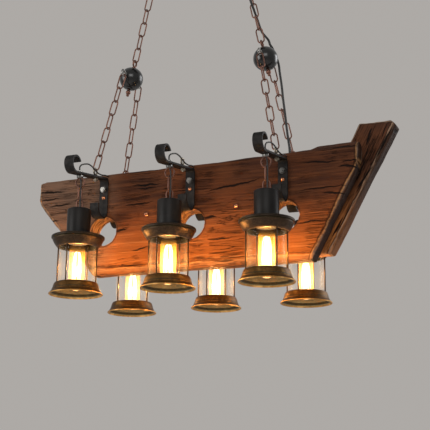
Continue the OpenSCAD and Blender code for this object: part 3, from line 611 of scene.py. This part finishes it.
# heights are from the lip of the base ring; the glass has a radius and a wall, cup and bulb a radius
lantern = {
    "lip": -0.808256,
    "baseTop": 0.024, "collarLow": 0.098, "collarTop": 0.121, "cupTop": 0.179,
    "glass": (0.037, 0.002), "glassSeat": 0.0001, "glassInCollar": 0.008, "glassCorner": 0.0007,
    "cup": 0.0245, "cupWall": 0.0012, "bulb": 0.016, "bulbLow": 0.0082, "socketLow": 0.106,
}
rodSettings = {
    "angles": (0, 110, 180, 290), "circle": 0.040, "radius": 0.0015,
    "nutRadius": 0.0023, "nutHeight": 0.0025, "tip": 0.0015, "bevel": 0.0004,
    # where the lower nut starts under the base ring's top, and the upper one over the collar
    "lowNut": -0.00415, "highNut": 0.00005,
}
# heights of the arch's feet, knees and springing are from the cup's top
archSettings = {"radius": 0.007, "width": 0.003, "foot": 0.001, "knee": 0.008, "spring": 0.014}
capSettings = {"crest": 0.0131, "root": 0.0124, "threads": 7, "start": 0.0012, "pitch": 0.0028}
filamentSettings = {
    "count": 8, "turn": 10, "spreads": (0.0085, 0.0062), "width": 0.0011, "low": 0.010, "high": -0.018,
    # distance from the stem and height, as shares
    "bow": [(0.85, 0.0), (1.0, 0.12), (1.04, 0.35), (1.0, 0.6), (0.9, 0.85), (0.55, 1.0)],
}
linkSettings = {"radius": 0.007, "reach": 0.00965, "middle": -0.01335, "width": 0.003}
# heights of the groove under the collar's lip, which gets painted shade
collarGroove = (0.1139, 0.1159)
# the base ring's tones: height of the lip inside and outside, radii of the ring of painted shade inside, and
# heights of the bead, which gets painted shade as well
baseTones = {"lipInside": 0.0036, "lipOutside": 0.0024, "inside": (0.0472, 0.0495), "bead": (0.0108, 0.0130)}


def millimetres(points):
    return [(r / 1000, z / 1000) for r, z in points]


def around(radius, angles):
    # points on a circle, for angles in degrees
    return [(radius * math.cos(math.radians(a)), radius * math.sin(math.radians(a))) for a in angles]


def makeCollar():
    # a bowl with a bead and a groove under its lip, and a dished top plate
    outer = [(37.4, 98.0), (42.0, 98.0), (42.6, 98.3), (45.4, 101.4), (47.6, 104.6), (49.4, 107.8),
             (50.8, 110.4), (51.7, 112.6), (52.0, 113.9), (51.9, 114.4), (51.3, 114.9), (51.3, 115.3),
             (51.8, 115.7), (53.6, 115.9), (54.3, 116.4), (54.5, 117.2), (54.5, 118.4), (54.1, 118.8),
             (54.1, 119.3), (54.4, 119.7), (54.1, 120.4), (53.2, 121.0), (51.8, 120.9), (49.0, 120.5),
             (44.0, 120.4), (36.0, 120.6), (26.0, 121.0), (19.9, 121.0)]
    inner = [(19.9, 119.4), (26.0, 119.4), (50.6, 119.3), (52.2, 118.8), (52.2, 117.6), (49.7, 114.6),
             (48.3, 112.0), (45.4, 107.2), (42.4, 102.2), (41.8, 99.6), (37.4, 99.6)]
    piece = lathe("collar", millimetres(outer + inner), collarBronze)
    for finish in (ringShade, collarBowlLit):
        piece.data.materials.append(finish.material)
    # painted shade in the groove, and painted warm light on the bowl below it
    grooveLow, grooveHigh = collarGroove
    for face in piece.data.polygons:
        outward = face.normal.dot(Vector((face.center.x, face.center.y, 0))) > 0
        if grooveLow < face.center.z < grooveHigh:
            face.material_index = 1
        elif outward and face.center.z < grooveLow:
            face.material_index = 2
    return piece


def makeBase():
    # a ledge for the glass, a round shoulder with a bead, and the skirt down to a rolled lip
    outer = [(33.0, 22.4), (33.0, 24.0), (42.4, 24.0), (43.4, 23.6), (44.6, 22.0), (45.5, 19.9),
             (46.2, 17.6), (46.9, 15.2), (47.5, 12.8), (47.9, 11.4), (48.4, 11.0), (48.8, 10.3),
             (48.7, 9.5), (49.2, 8.4), (50.4, 6.7), (51.8, 5.0), (53.1, 3.5), (54.2, 2.6), (54.9, 1.9),
             (55.0, 1.0), (54.8, 0.3), (54.2, 0.0)]
    inner = [(53.4, 0.1), (52.7, 1.2), (51.2, 2.8), (49.8, 4.4), (48.2, 6.6), (46.9, 9.0), (45.9, 12.0),
             (44.9, 15.6), (44.0, 18.6), (43.0, 21.0), (42.2, 22.1), (41.0, 22.4)]
    piece = lathe("base", millimetres(outer + inner), ringBrass)
    for finish in (ringInsideLit, ringShade, lipGold):
        piece.data.materials.append(finish.material)
    # painted light and shade: brighter gold on the lip, the lit copy inside, the shaded copy on a ring inside
    # and on the bead
    for face in piece.data.polygons:
        middle = Vector((face.center.x, face.center.y, 0))
        inward = face.normal.dot(middle.normalized()) < -0.05 or face.normal.z < -0.75
        if face.center.z < baseTones["lipInside" if inward else "lipOutside"]:
            face.material_index = 3
        elif inward:
            face.material_index = 2 if baseTones["inside"][0] < middle.length < baseTones["inside"][1] else 1
        elif baseTones["bead"][0] < face.center.z < baseTones["bead"][1]:
            face.material_index = 2
    return piece


def makeRods(s, r):
    # studs from under the base ring to over the collar, a round nut and a short tip at each end
    rods = []
    low, high = s["baseTop"] + r["lowNut"], s["collarTop"] + r["highNut"]
    rodLength = high - low + r["nutHeight"] + 2 * r["tip"]
    for x, y in around(r["circle"], r["angles"]):
        for radius, z, reach in ((r["radius"], low - r["tip"], rodLength),
                                 (r["nutRadius"], low, r["nutHeight"]),
                                 (r["nutRadius"], high, r["nutHeight"])):
            freshStart()
            bpy.ops.mesh.primitive_cylinder_add(vertices=20, radius=radius, depth=reach,
                                                location=(x, y, z + reach / 2))
            rods.append(bevelled(bpy.context.object, r["bevel"]))
    piece = joined("rods", rods)
    bpy.ops.object.shade_smooth_by_angle(angle=math.radians(40))
    give(piece, rodBronze)
    return piece


def makeGlass(s):
    r, wall = s["glass"]
    low, high = s["baseTop"] + s["glassSeat"], s["collarLow"] + s["glassInCollar"]
    profile = [(r, low), (r, high), (r - wall, high), (r - wall, low)]
    return lathe("glass", cutCorners(profile, s["glassCorner"]), clearGlass)


def makeCup(s):
    r, low, high, wall = s["cup"], s["collarTop"], s["cupTop"], s["cupWall"]
    outer = [(r, low), (r, low + 0.0042), (r - 0.0005, low + 0.0047), (r - 0.0005, low + 0.0056),
             (r, low + 0.0061), (r, high - 0.0022), (r - 0.0006, high - 0.0008), (r - 0.0020, high),
             (0.0085, high), (0.0031, high)]
    inner = [(0.0031, high - wall), (r - 0.0026, high - wall), (r - wall, high - 0.0028), (r - wall, low)]
    return lathe("cup", outer + inner, cupPaint)


def makeArch(s, a):
    # copper flange and the arch that hangs on the link
    high = s["cupTop"]
    flange = lathe("flange", [(0.0, high), (0.0092, high), (0.0095, high + 0.0004), (0.0095, high + 0.0018),
                              (0.0088, high + 0.0026), (0.0040, high + 0.0030), (0.0, high + 0.0030)],
                   chainCopper, 48, closed=False)
    legs = [high + a[key] for key in ("foot", "knee", "spring")]
    route = [(-a["radius"], 0, z) for z in legs]
    route += [(-px, 0, legs[-1] + pz) for px, pz in around(a["radius"], (30, 60, 90, 120, 150))]
    route += [(a["radius"], 0, z) for z in reversed(legs)]
    bow = tube("bow", route, a["width"], chainCopper, 16)
    return joined("arch", [flange, bow])


def makeBulb(s):
    r, low, neck = s["bulb"], s["bulbLow"], s["socketLow"]
    profile = [(0.0, low)]
    profile += [(px, low + 0.9 * (r - pz)) for pz, px in around(r, range(10, 91, 10))]
    profile += [(r, neck - 0.020), (r - 0.0004, neck - 0.0145), (r - 0.0016, neck - 0.009),
                (0.0128, neck - 0.004), (0.0122, neck)]
    return lathe("bulbTube", profile, bulbGlass, 64, closed=False)


def makeCap(s, c):
    # screw cap: a crest and a root for each thread, then the shoulder and the contact
    neck = s["socketLow"]
    profile = [(0.0, neck), (c["crest"], neck)]
    for turn in range(c["threads"]):
        z = neck + c["start"] + turn * c["pitch"]
        profile += [(c["crest"], z), (c["root"], z + c["pitch"] / 2)]
    profile += [(0.0128, neck + 0.0212), (0.0118, neck + 0.0222), (0.0062, neck + 0.0255),
                (0.0, neck + 0.0258)]
    return lathe("bulbCap", profile, capMetal, 48, closed=False)


def makeFilaments(s, f):
    # upright hairpins round the bulb's stem
    low, high = s["bulbLow"] + f["low"], s["socketLow"] + f["high"]
    parts = []
    for k in range(f["count"]):
        x, y = around(f["spreads"][k % 2], [360 / f["count"] * k + f["turn"]])[0]
        route = [(x * w, y * w, low + (high - low) * h) for w, h in f["bow"]]
        parts.append(tube("filament", route, f["width"], filamentGlow, 8))
    return joined("filaments", parts)


def makeStem(s):
    high = s["socketLow"]
    return lathe("stem", [(0.0, high - 0.034), (0.0022, high - 0.033), (0.0026, high - 0.020),
                          (0.0050, high - 0.010), (0.0100, high - 0.001), (0.0, high - 0.001)],
                 clearGlass, 24, closed=False)


def makeLink(s):
    # the oval link between hook and arch, its pivot at the top
    route = [(0, py, s["middle"] + s["reach"] + pz) for py, pz in around(s["radius"], range(0, 181, 20))]
    route += [(0, py, s["middle"] - s["reach"] + pz) for py, pz in around(s["radius"], range(180, 361, 20))]
    data = curveData("link", s["width"], 4)
    spline = data.splines.new("POLY")
    spline.points.add(len(route) - 1)
    for knot, place in zip(spline.points, route):
        knot.co = (*place, 1)
    spline.use_cyclic_u = True
    return meshed("link", data, chainCopper)


# each is made once at the origin and then copied for every lamp: piece, node it stands for, slot
masters = {
    "Collar": (makeCollar(), "cage", "antique_brass"), "Base": (makeBase(), "cage", "antique_brass"),
    "Rods": (makeRods(lantern, rodSettings), "cage", "antique_brass"),
    "Glass": (makeGlass(lantern), "glass", "clear_glass"), "Cup": (makeCup(lantern), "cup", "cup_black"),
    "Arch": (makeArch(lantern, archSettings), "cup", "copper_chain"),
    "BulbTube": (makeBulb(lantern), "bulb", "bulb_glass"),
    "BulbCap": (makeCap(lantern, capSettings), "bulb", "bulb_glass"),
    "Filaments": (makeFilaments(lantern, filamentSettings), "bulb", "bulb_glass"),
    "Stem": (makeStem(lantern), "bulb", "bulb_glass"),
}
linkMaster = makeLink(linkSettings)
for lamp, (x, y, turn) in lamps.items():
    for suffix, (master, node, finishSlot) in masters.items():
        angle = math.radians(turn) if node == "cage" else 0.0
        piece = copied(master, lamp + suffix, (x, y, lantern["lip"]), angle)
        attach(piece, lamp)
        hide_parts(lamp + "_" + node)
    link = copied(linkMaster, lamp + "Link", (x, y, hangPoint))
    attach(link, lamp + "_link")
    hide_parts(lamp + "_link")
    dress([lamp + "_socket"], socketBlack)
for master in [row[0] for row in masters.values()] + [linkMaster]:
    bpy.data.objects.remove(master)
print("lanterns are made")


hookSettings = {
    # the arm's slope, where it leaves the plank's face, and how far along it the stem stands
    "slope": math.radians(9.5), "root": (-0.0245, -0.535), "run": 0.108778,
    "bevel": 0.0005,
    # radius, ends along the stem and number of sides, for the stem and the nuts over and under the arm
    "bars": [(0.004, -0.004, 0.007, 24), (0.00635, 0.002, 0.006, 6), (0.00693, -0.009, -0.002, 6)],
    # radius of the ring, radius of its wire and place along the stem
    "ring": (0.010, 0.0015, -0.019),
}


def makeHooks(s):
    # a zinc stem with its two nuts through each arm, and the copper ring under it
    steels, rings = [], []
    across, flat = Vector((1, 0, 0)), Matrix.Rotation(math.radians(90), 4, "X")
    radius, wire, drop = s["ring"]
    for x, y, _ in lamps.values():
        side = -1 if y < 0 else 1
        along = Vector((0, side * math.cos(s["slope"]), -math.sin(s["slope"])))
        upright = Vector((0, side * math.sin(s["slope"]), math.cos(s["slope"])))
        foot = Vector((x, -side * s["root"][0], s["root"][1])) + along * s["run"]
        lean = Matrix((across, upright.cross(across), upright)).transposed().to_4x4()
        for r, low, high, sides in s["bars"]:
            freshStart()
            bpy.ops.mesh.primitive_cylinder_add(vertices=sides, radius=r, depth=high - low)
            bar = bpy.context.object
            bar.matrix_world = Matrix.Translation(foot + upright * (low + high) / 2) @ lean
            steels.append(bevelled(bar, s["bevel"]))
        freshStart()
        bpy.ops.mesh.primitive_torus_add(major_radius=radius, minor_radius=wire,
                                         major_segments=48, minor_segments=14)
        ring = bpy.context.object
        ring.matrix_world = Matrix.Translation(foot + upright * drop) @ lean @ flat
        rings.append(ring)
    for parts, name, finish, slotName in ((steels, "hookStems", zincSteel, "zinc_steel"),
                                          (rings, "hookRings", chainCopper, "copper_chain")):
        piece = joined(name, parts)
        bpy.ops.object.shade_smooth_by_angle(angle=math.radians(40))
        give(piece, finish)
        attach(piece, "beam")
        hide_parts("lamp_hooks")


makeHooks(hookSettings)


wireSettings = {
    "width": 0.0031, "plankTop": -0.523, "beside": (0.0033, -0.004),
    # millimetres along the plank, out from it and up from its top
    "route": [(7, -20, -6), (7, -27, -6), (7, -36, -7), (7, -46, -9.5), (7, -57, -11), (6, -68, -10),
              (4, -76, -6), (2, -85, -1), (0, -97, 1), (0, -109, -2), (0, -120, -6), (0, -129, -11),
              (0, -133.4, -17), (0, -133, -23), (0, -131.8, -30), (0, -130.6, -37.3), (1, -130, -41.5),
              (2.8, -130.6, -46.5), (3.3, -131, -52)],
    # heights beside the link: above the middle, at the middle where the two stretches meet, and below it
    "above": (-0.5805, -0.5880), "middle": -0.5955, "below": (-0.602, -0.609, -0.617, -0.625, -0.6325),
    # where each stretch starts and ends its bend, from the joint's height
    "hangBend": (0.008, -0.006), "swayBend": (0.006, -0.006),
}


def makeWires(s):
    # from the plank along the arm, down through the hook, beside the link and into the cup
    for lamp, (x, y, _) in lamps.items():
        side = -1 if y < 0 else 1
        down = (x + s["beside"][0], y - side * s["beside"][1])
        upper = [(x + px / 1000, -side * py / 1000, s["plankTop"] + pz / 1000) for px, py, pz in s["route"]]
        upper += [(*down, z) for z in (*s["above"], s["middle"])]
        over = settle(tube(lamp + "WireOver", upper, s["width"], cableBlack, 12))
        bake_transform(over)
        lower = [(*down, z) for z in (s["middle"], *s["below"])]
        into = settle(tube(lamp + "WireInto", lower, s["width"], cableBlack, 12))
        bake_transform(into)
        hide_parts("lamp_wires")


cableSettings = {
    "width": 0.005,
    # knots in millimetres from the frame's origin; the upper stretch ends at knot number "split" of "high"
    "stub": [(122, 0, -31), (122, 0, -36), (122, 0, -41)],
    "high": [(122, 0, -45), (122, 3, -52), (120, 8, -62), (117, 12, -75), (115, 15, -90), (119, 11, -106),
             (122, 0, -121), (125, -11, -136), (128, -15, -152), (132, -11, -167), (135, 0, -182),
             (138, 11, -197), (142, 15, -213), (148, 14, -228), (157, 11, -241), (164, 8, -251),
             (167, 6, -258)],
    "low": [(168, 6, -262), (172, 12, -270), (176, 20.8, -283.8), (180, 28, -300), (182, 30, -320),
            (186, 30, -350), (190, 28, -385), (195, 25, -420), (200, 20, -455), (205, 14, -482),
            (208, 11, -498), (209, 10, -510), (209, 10, -520), (209, 10, -531)],
    "split": 9,
    # start and end of the bend at the ceiling hook and at the ball
    "topBend": ((0.122, 0, -0.036), (0.122, 0, -0.052)),
    "ballBend": ((0.1516, 0, -0.246), (0.1516, 0, -0.272)),
}


def makeCable(s):
    # the supply cable, woven through the right chain, in two stretches that each bend at one joint
    stub, high, low = [[tuple(v / 1000 for v in knot) for knot in s[key]] for key in ("stub", "high", "low")]
    first = settle(tube("cableTop", stub + high[:s["split"]], s["width"], cableBlack, 16))
    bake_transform(first)
    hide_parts("cable_upper")
    second = settle(tube("cableBottom", high[s["split"] - 1:] + low, s["width"], cableBlack, 16))
    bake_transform(second)
    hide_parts("cable_lower")


makeWires(wireSettings)
makeCable(cableSettings)
print("wires and cable are made")


def wornEdges(p, g, planes, s):
    # moves the point p in where it lies outside a chamfer; g is p turned to the grain, which the wear follows
    for first, second, width, rough in s["chamfers"]:
        (n1, q1), (n2, q2) = planes[first], planes[second]
        a, b = (q1 - p).dot(n1), (q2 - p).dot(n2)
        if max(a, b) > s["edgeReach"]:
            continue
        wander = noise.noise(Vector((g.x * 14, g.y * 3, g.z * 3 + first * 7)))
        wander += 0.5 * noise.noise(Vector((g.x * 55, first * 3.1, 2.0)))
        cut = width * (1 + rough * wander) - a - b
        if cut > 0:
            p = p - (n1 + n2).normalized() * cut * s["push"]
    return p


def hollows(g, depth):
    # how far the surface goes in, in shallow hollows along the grain
    broad = noise.noise(Vector((g.x * 6, g.y * 20, g.z * 26)))
    narrow = noise.noise(Vector((g.x * 22, g.y * 60, g.z * 95)))
    return min(0.0, depth * (0.6 * broad + 0.4 * narrow - 0.45))


def agedPlank(node, name, finish, s):
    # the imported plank, remeshed finely, with worn, chamfered edges and shallow hollows along the grain
    piece = bpy.data.objects.new(name, bodyNodes[node].data.copy())
    bpy.context.scene.collection.objects.link(piece)
    activate(piece)
    bpy.ops.object.mode_set(mode="EDIT")
    bpy.ops.mesh.select_all(action="SELECT")
    bpy.ops.mesh.remove_doubles(threshold=0.00001)
    bpy.ops.object.mode_set(mode="OBJECT")
    bpy.ops.object.modifier_add(type="REMESH")
    piece.modifiers[-1].mode = "VOXEL"
    piece.modifiers[-1].voxel_size = s["voxel"] * 1
    bpy.ops.object.modifier_apply(modifier=piece.modifiers[-1].name)
    planes = [(Vector(normal).normalized(), Vector(spot)) for normal, spot in s["faces"]]
    grain = Matrix.Rotation(s["grainTurn"], 3, "Y")
    mesh = piece.data
    normals = [vertex.normal.copy() for vertex in mesh.vertices]
    for vertex, normal in zip(mesh.vertices, normals):
        p = vertex.co.copy()
        g = grain @ p
        vertex.co = wornEdges(p, g, planes, s) + normal * hollows(g, s["hollow"])
    mesh.update()
    activate(piece)
    bpy.ops.object.shade_smooth()
    give(piece, finish)
    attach(piece, "beam")
    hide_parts(node)
    return piece


# faces: an outward normal and a spot on each; chamfers: two faces, width and roughness;
# edgeReach: how far from both faces an edge's wear reaches; push: the share of it that is cut away
mainPlankSettings = {
    "voxel": 0.0022, "grainTurn": 0.0, "hollow": 0.0022, "edgeReach": 0.03, "push": 0.6,
    # front, back, foot, left end, right end, top, blunt right tip
    "faces": [((0, -1, 0), (0, -0.0225, 0)), ((0, 1, 0), (0, 0.0225, 0)), ((0, 0, -1), (0, 0, -0.747)),
              ((-0.17, 0, -0.139), (-0.232, 0, -0.747)), ((0.178, 0, -0.093), (0.262, 0, -0.747)),
              ((0, 0, 1), (0, 0, -0.523)), ((1, 0, 0), (0.361, 0, -0.523))],
    "chamfers": [(0, 2, 0.014, 0.6), (1, 2, 0.010, 0.5), (0, 3, 0.010, 0.9), (1, 3, 0.009, 0.6),
                 (0, 4, 0.010, 0.9), (1, 4, 0.008, 0.5), (0, 5, 0.004, 0.6), (1, 5, 0.004, 0.6),
                 (0, 6, 0.006, 1.3), (1, 6, 0.003, 0.5)],
}
leanAngle = math.radians(28.3)
endPlankSettings = {
    "voxel": 0.0026, "grainTurn": math.radians(61.7), "hollow": 0.0022, "edgeReach": 0.03, "push": 0.6,
    # front, back, foot, right edge, left edge, top
    "faces": [((0, -1, 0), (0, 0.0225, 0)), ((0, 1, 0), (0, 0.0665, 0)), ((0, 0, -1), (0, 0, -0.727)),
              ((math.cos(leanAngle), 0, -math.sin(leanAngle)), (0.288, 0, -0.727)),
              ((-math.cos(leanAngle), 0, math.sin(leanAngle)), (0.208, 0, -0.727)),
              ((0, 0, 1), (0, 0, -0.458))],
    "chamfers": [(0, 3, 0.0045, 0.9), (1, 3, 0.003, 0.6), (0, 4, 0.005, 0.7), (1, 4, 0.006, 0.5),
                 (0, 5, 0.005, 0.9), (1, 5, 0.003, 0.6), (0, 2, 0.004, 0.5), (1, 2, 0.004, 0.5)],
}
mainTimber = agedPlank("main_plank", "mainTimber", plankWood, mainPlankSettings)
endTimber = agedPlank("end_plank", "endTimber", endWood, endPlankSettings)
print("planks are weathered")


room = {
    "floorHeight": -2.2, "floorSize": 40, "floorColor": (0.86, 0.85, 0.84), "floorRough": 0.8,
    "air": (1.0, 0.99, 0.97), "airStrength": 0.4, "backdrop": (0.42, 0.40, 0.38), "backdropStrength": 1.0,
    "warmPower": 2.3, "warmColor": (1.0, 0.52, 0.15), "warmRadius": 0.012, "warmHeight": 0.055,
    # name, place, aim, sides, power and colour
    "panels": [("leftPanel", (-2.2, -2.0, -0.2), (0, 0, -0.6), (1.6, 1.6), 33, (1.0, 0.98, 0.95)),
               ("frontPanel", (1.0, -2.8, 0.6), (0, 0, -0.6), (1.8, 1.2), 22, (1.0, 0.99, 0.97)),
               ("rimPanel", (1.8, 1.8, 0.3), (0, 0, -0.5), (1.4, 1.4), 24, (0.97, 0.98, 1.0))],
}


def addFloor(s):
    freshStart()
    bpy.ops.mesh.primitive_plane_add(size=s["floorSize"], location=(0, 0, s["floorHeight"]))
    floor = bpy.context.object
    floor.name = "floor"
    give(floor, Finish("floorPale", color=s["floorColor"], rough=s["floorRough"]))


def addAir(s):
    # soft light from all round, and a plain backdrop for the camera and for what is seen through glass
    world = bpy.data.worlds.new("studio")
    bpy.context.scene.world = world
    world.use_nodes = True
    nodes, link = world.node_tree.nodes, world.node_tree.links.new
    lit, seen = nodes["Background"], nodes.new("ShaderNodeBackground")
    for background, color, strength in ((lit, "air", "airStrength"), (seen, "backdrop", "backdropStrength")):
        background.inputs["Color"].default_value = (*s[color], 1)
        background.inputs["Strength"].default_value = s[strength]
    path, either = nodes.new("ShaderNodeLightPath"), nodes.new("ShaderNodeMath")
    either.operation = "MAXIMUM"
    link(path.outputs["Is Camera Ray"], either.inputs[0])
    link(path.outputs["Is Transmission Ray"], either.inputs[1])
    blend = nodes.new("ShaderNodeMixShader")
    for source, place in ((either, 0), (lit, 1), (seen, 2)):
        link(source.outputs[0], blend.inputs[place])
    link(blend.outputs[0], nodes["World Output"].inputs[0])


def addLight(name, kind, power, color, place):
    data = bpy.data.lights.new(name, kind)
    data.energy = power
    data.color = color
    light = bpy.data.objects.new(name, data)
    bpy.context.scene.collection.objects.link(light)
    light.location = place
    return light


def addLights(s):
    # three panels round the lamp, and a small warm light in each lantern
    for name, place, aim, sides, power, color in s["panels"]:
        panel = addLight(name, "AREA", power, color, place)
        panel.data.shape = "RECTANGLE"
        panel.data.size, panel.data.size_y = sides
        panel.rotation_euler = (Vector(aim) - Vector(place)).to_track_quat("-Z", "Y").to_euler()
    for lamp, (x, y, _) in lamps.items():
        place = (x, y, lantern["lip"] + s["warmHeight"])
        warmth = addLight(lamp + "Warmth", "POINT", s["warmPower"], s["warmColor"], place)
        warmth.data.shadow_soft_size = s["warmRadius"]


addFloor(room)
addAir(room)
addLights(room)
print("room and lamps are in place")
